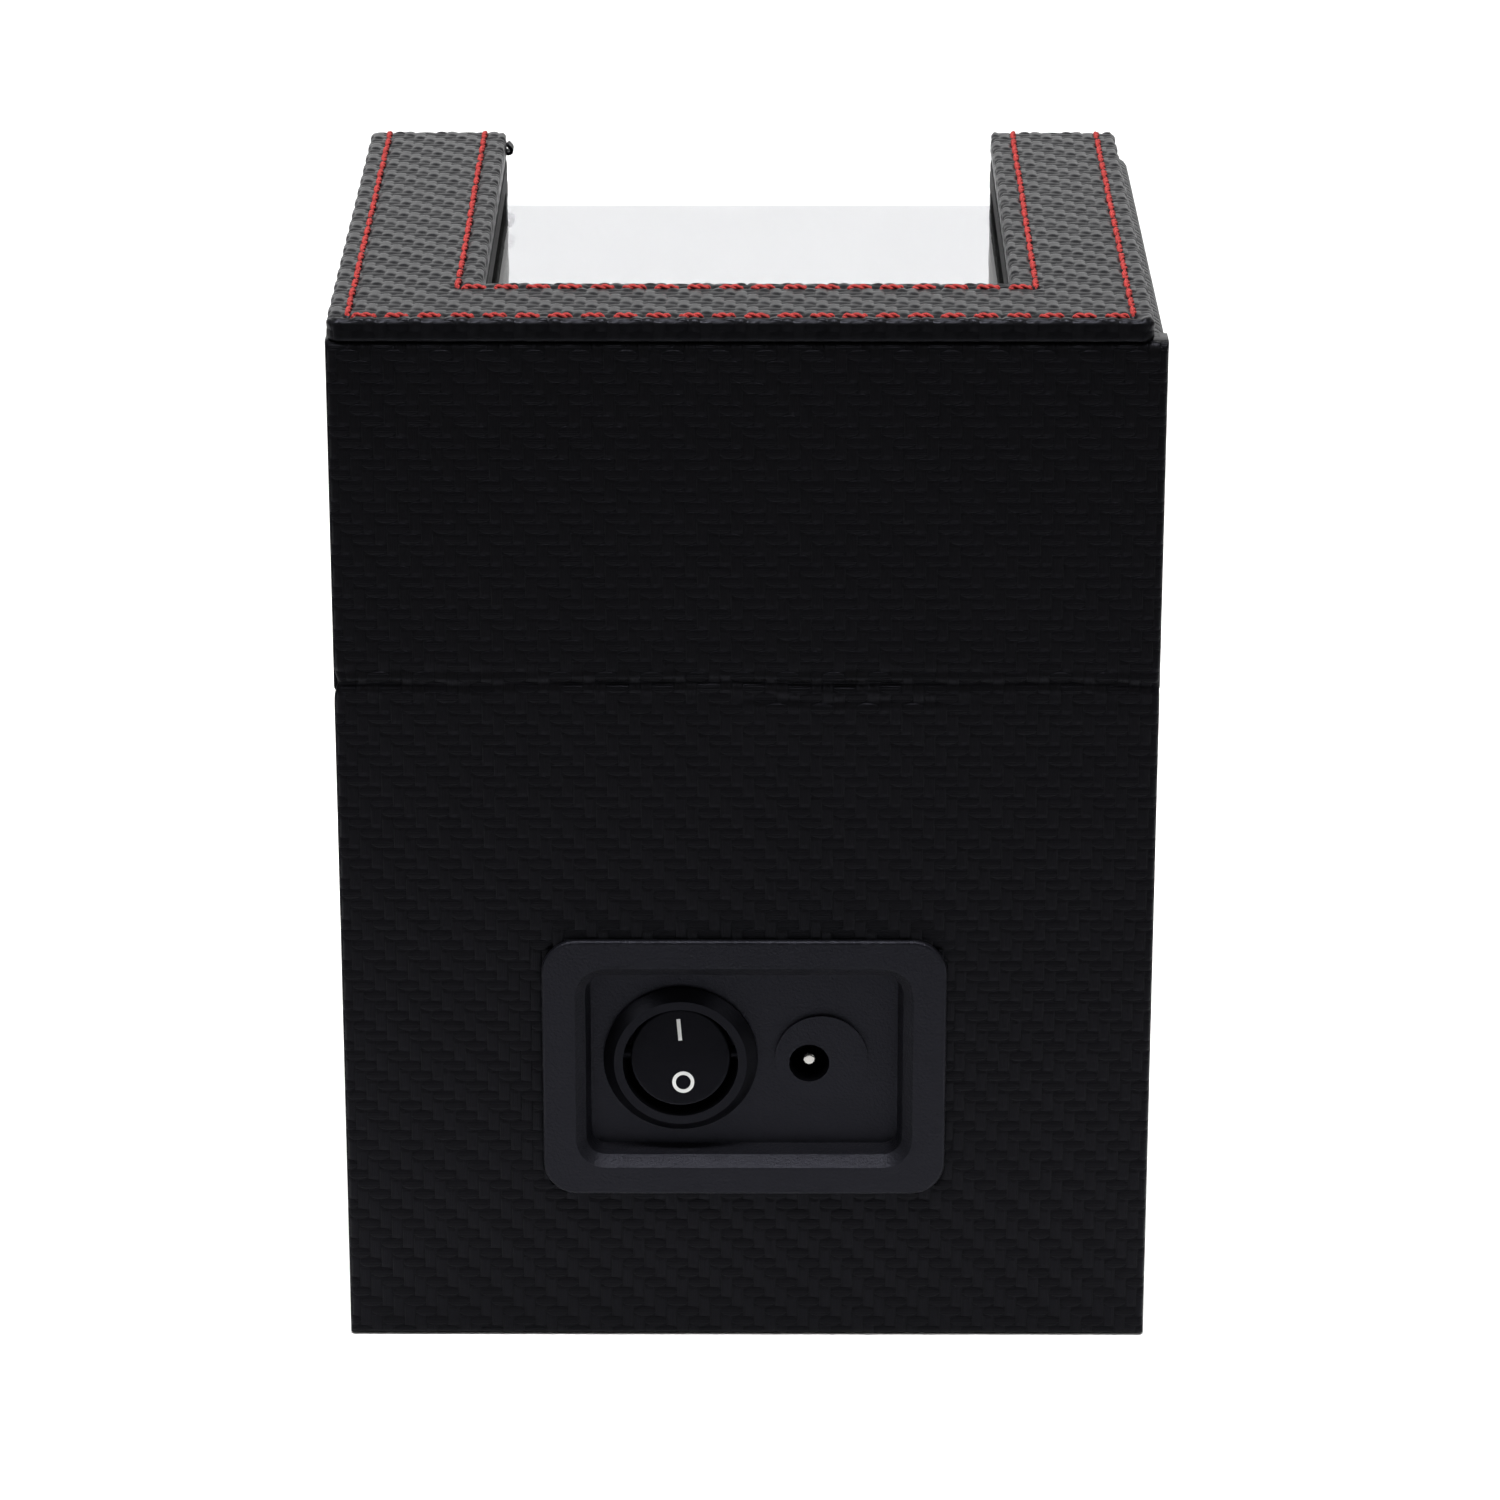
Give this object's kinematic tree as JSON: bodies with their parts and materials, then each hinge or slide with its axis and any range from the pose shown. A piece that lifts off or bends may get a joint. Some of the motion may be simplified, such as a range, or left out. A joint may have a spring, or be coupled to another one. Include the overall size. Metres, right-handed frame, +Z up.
{
  "type": "watch winder box",
  "caption": "Leather-covered box for one watch, with a clear-topped hinged lid over a slanted turning cup, and a power inlet and rocker switch in a recess in the rear.",
  "frame": {"origin": "middle of the underside, on the surface that the box stands on", "axes": "+Z up, the lid hinges at the rear on +Y and the window faces -Y, +X is to the right seen from the front"},
  "size_m": [0.12, 0.1061, 0.1603],
  "materials": {
    "leather": "twill-embossed imitation leather, semi-gloss",
    "fibreboard": "raw medium-density fibreboard",
    "edge_board": "fibreboard with black-dyed edges",
    "felt": "pressed felt",
    "flock": "short flocked velvet",
    "magnet": "nickel plate",
    "trim_metal": "polished plate",
    "zinc_steel": "zinc-plated sheet",
    "screw_steel": "bright steel",
    "housing_aluminium": "turned",
    "brass": "plain",
    "gear_nylon": "moulded acetal",
    "rotor_steel": "laminated steel and steel shaft",
    "gearbox_plastic": "moulded",
    "belt_rubber": "smooth",
    "cup_plastic": "moulded",
    "pillow_leather": "soft imitation leather",
    "panel_plastic": "fine spark texture",
    "switch_plastic": "satin moulded",
    "pin_plating": "nickel plate",
    "circuit_board": "solder mask",
    "component_plastic": "moulded",
    "lead_insulation": "smooth sheath",
    "thread": "waxed thread",
    "acrylic": "clear cast acrylic"
  },
  "bodies": {
    "base": {"base_felt": "felt", "base_floor": "fibreboard", "base_front_board": "fibreboard", "base_magnets": "magnet", "base_rear_board": "fibreboard", "base_rear_cover": "leather", "base_side_boards": "fibreboard", "base_wrap": "leather", "bearing_housing": "housing_aluminium", "board_components": "component_plastic", "board_screws": "screw_steel", "board_standoffs": "brass", "bracket_screws": "screw_steel", "control_board": "circuit_board", "deck_board": "fibreboard", "deck_cleats": "fibreboard", "deck_lining": "flock", "drive_belt": "belt_rubber", "drive_bracket": "zinc_steel", "gearbox_case": "gearbox_plastic", "gearbox_cover": "gearbox_plastic", "gearbox_screws": "screw_steel", "inlet_body": "panel_plastic", "inlet_lead": "lead_insulation", "inlet_pin": "pin_plating", "inlet_terminals": "brass", "motor_can": "zinc_steel", "motor_end_cap": "gearbox_plastic", "motor_lead": "lead_insulation", "motor_terminals": "brass", "recess_plate": "panel_plastic", "spindle_bush": "brass", "switch_body": "switch_plastic", "switch_lead": "lead_insulation", "switch_terminals": "brass", "trim_ring": "trim_metal"},
    "lid": {"front_panel": "leather", "lid_front_board": "edge_board", "lid_lining": "flock", "lid_magnets": "magnet", "lid_rear_board": "fibreboard", "lid_rear_cover": "leather", "lid_side_boards": "fibreboard", "lid_top_board": "edge_board", "lid_wrap": "leather", "panel_stitching": "thread", "top_panel": "leather", "window_pane": "acrylic"},
    "rocker": {"rocker": "switch_plastic"},
    "cup": {"cup": "cup_plastic", "cup_lining": "flock", "cup_screw": "screw_steel", "spindle": "screw_steel", "spindle_clip": "screw_steel", "spindle_pulley": "gear_nylon"},
    "pillow": {"watch_pillow": "pillow_leather"},
    "output_gear": {"output_gear": "gear_nylon", "motor_pulley": "gear_nylon"},
    "idler_gear": {"idler_gear": "gear_nylon"},
    "armature": {"motor_armature": "rotor_steel"}
  },
  "joints": [
    {"name": "lid_hinge", "type": "hinge", "parent": "base", "child": "lid", "pos_m": [0, 0.0521, 0.1036], "axis": [-1, 0, 0], "range_deg": [0, 100]},
    {"name": "rocker_switch", "type": "hinge", "parent": "base", "child": "rocker", "pos_m": [0.0099, 0.04662, 0.0444], "axis": [-1, 0, 0], "range_deg": [0, 17.2]},
    {"name": "cup_spin", "type": "hinge", "parent": "base", "child": "cup", "pos_m": [0, -0.0027, 0.07584], "axis": [0, -0.4226, 0.9063], "continuous": true},
    {"name": "pillow_lift", "type": "slide", "parent": "cup", "child": "pillow", "axis": [0, -0.4226, 0.9063], "range_m": [0, 0.01]},
    {"name": "output_spin", "type": "hinge", "parent": "base", "child": "output_gear", "pos_m": [-0.032, -0.0027, 0.07584], "axis": [0, -0.4226, 0.9063], "continuous": true},
    {"name": "idler_spin", "type": "hinge", "parent": "base", "child": "idler_gear", "pos_m": [-0.04, -0.0027, 0.07584], "axis": [0, -0.4226, 0.9063], "continuous": true},
    {"name": "armature_spin", "type": "hinge", "parent": "base", "child": "armature", "pos_m": [-0.036, 0.00358, 0.07877], "axis": [0, -0.4226, 0.9063], "continuous": true}
  ],
  "couplings": [
    {"joint": "output_spin", "follows": "cup_spin", "ratio": 4},
    {"joint": "idler_spin", "follows": "cup_spin", "ratio": -12},
    {"joint": "armature_spin", "follows": "cup_spin", "ratio": 36}
  ]
}
